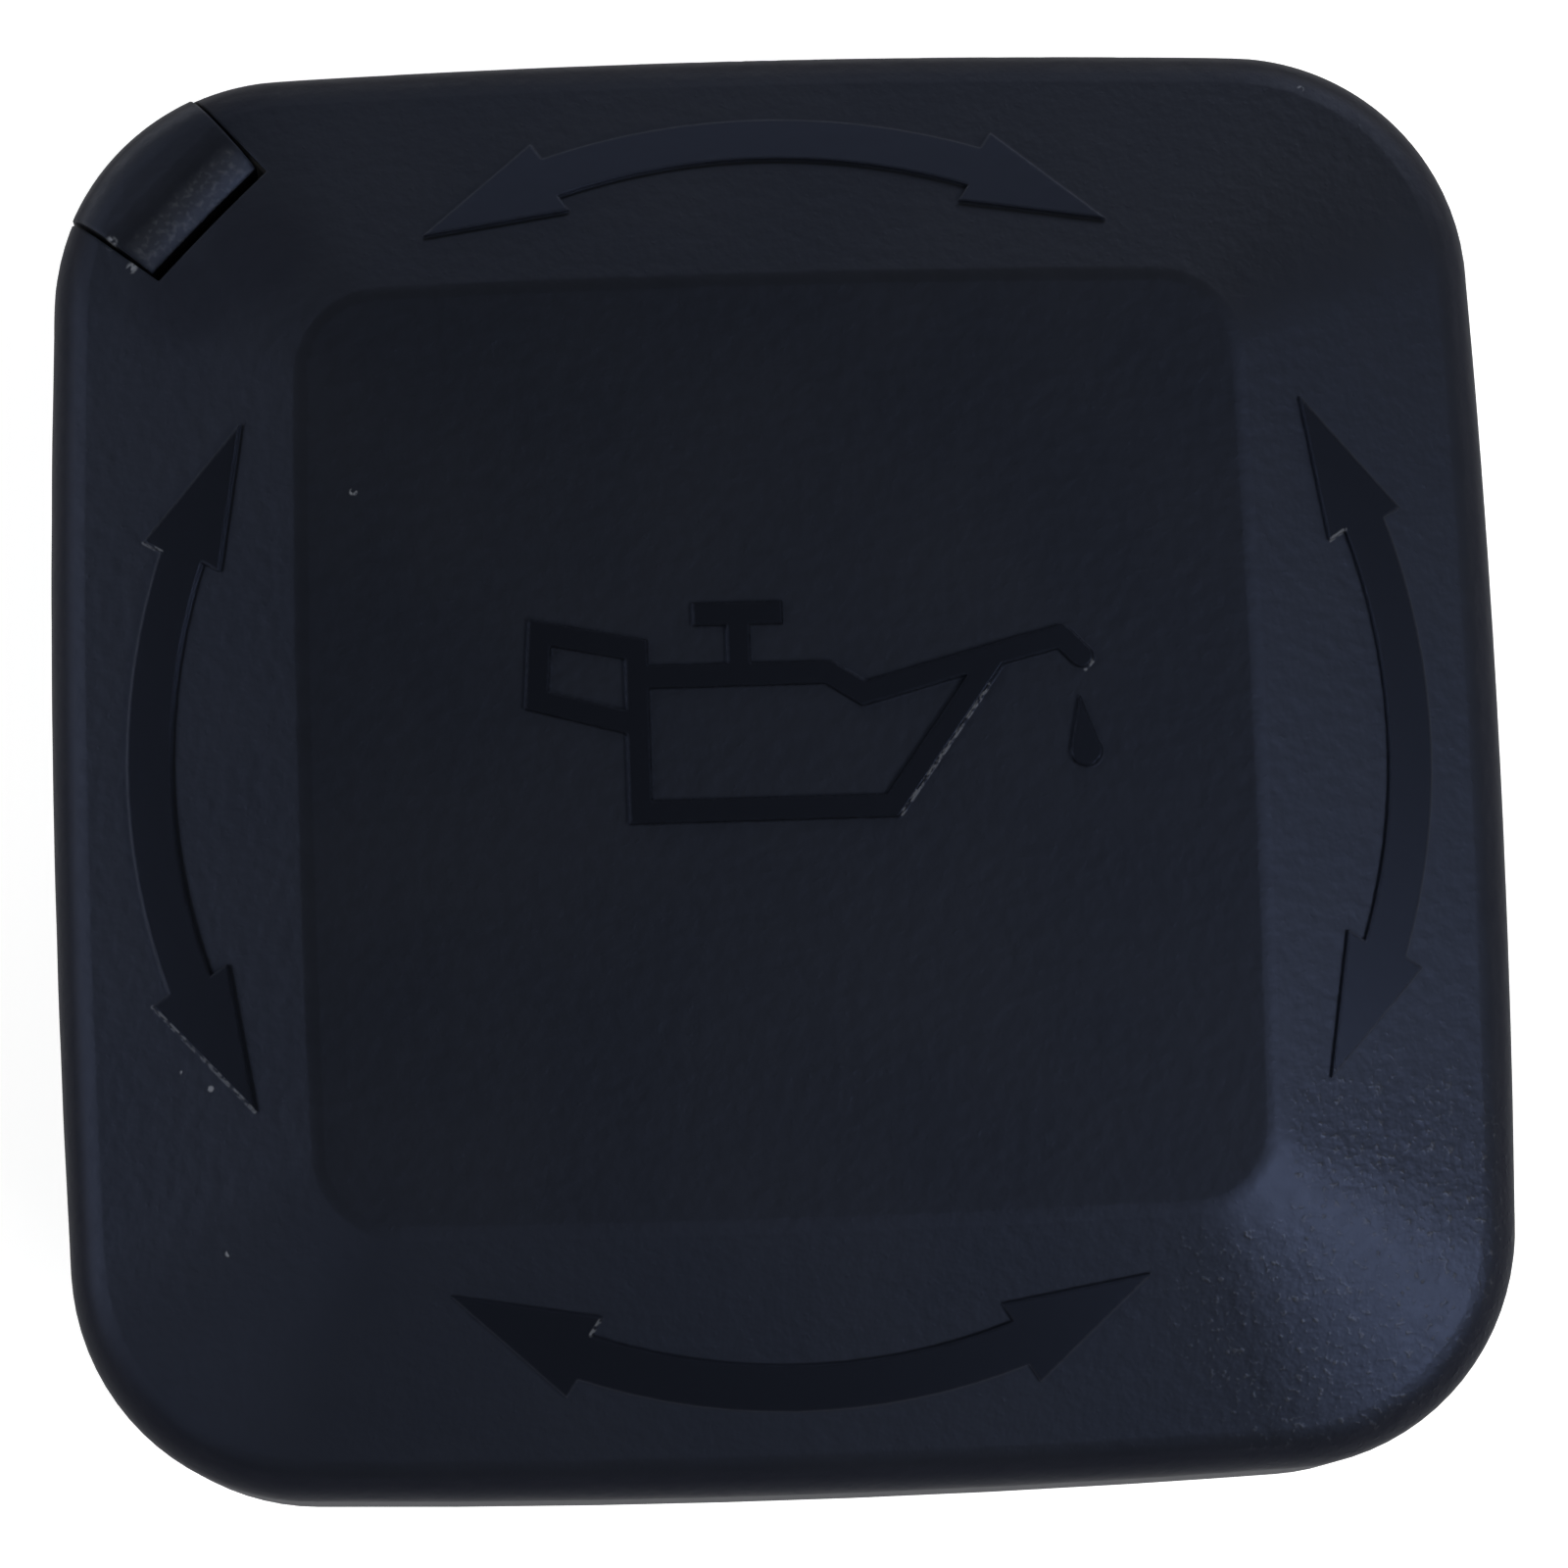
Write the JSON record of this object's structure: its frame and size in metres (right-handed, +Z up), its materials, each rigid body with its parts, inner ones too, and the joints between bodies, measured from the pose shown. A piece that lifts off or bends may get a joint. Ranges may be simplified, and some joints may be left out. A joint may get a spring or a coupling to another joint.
{
  "type": "oil filler cap",
  "caption": "Square engine oil filler cap with a raised plateau, arrows and oil can sign, a quarter-turn bayonet plug, a rubber sealing ring and a sprung corner latch.",
  "frame": {"origin": "on the turning axis, at the level of the plug's foot", "axes": "+Z up the turning axis, from the plug to the cover's plateau; +X to the right of the oil can sign as it is read, +Y towards its top"},
  "size_m": [0.0642, 0.0642, 0.0294],
  "materials": {
    "cover_plastic": "fine spark-eroded grain, black with a blue cast",
    "plug_plastic": "smooth satin black moulding",
    "seal_rubber": "dull black oil-proof rubber"
  },
  "bodies": {
    "cap": {"cover": "cover_plastic", "bayonet_plug": "plug_plastic", "sealing_ring": "seal_rubber"},
    "latch": {"corner_latch": "cover_plastic"}
  },
  "joints": [
    {"name": "latch_swing", "type": "hinge", "parent": "cap", "child": "latch", "pos_m": [-0.02227, 0.02227, 0.0186], "axis": [0.7071, 0.7071, 0], "range_deg": [0, 2], "stiffness_Nm_per_rad": 0.8}
  ]
}
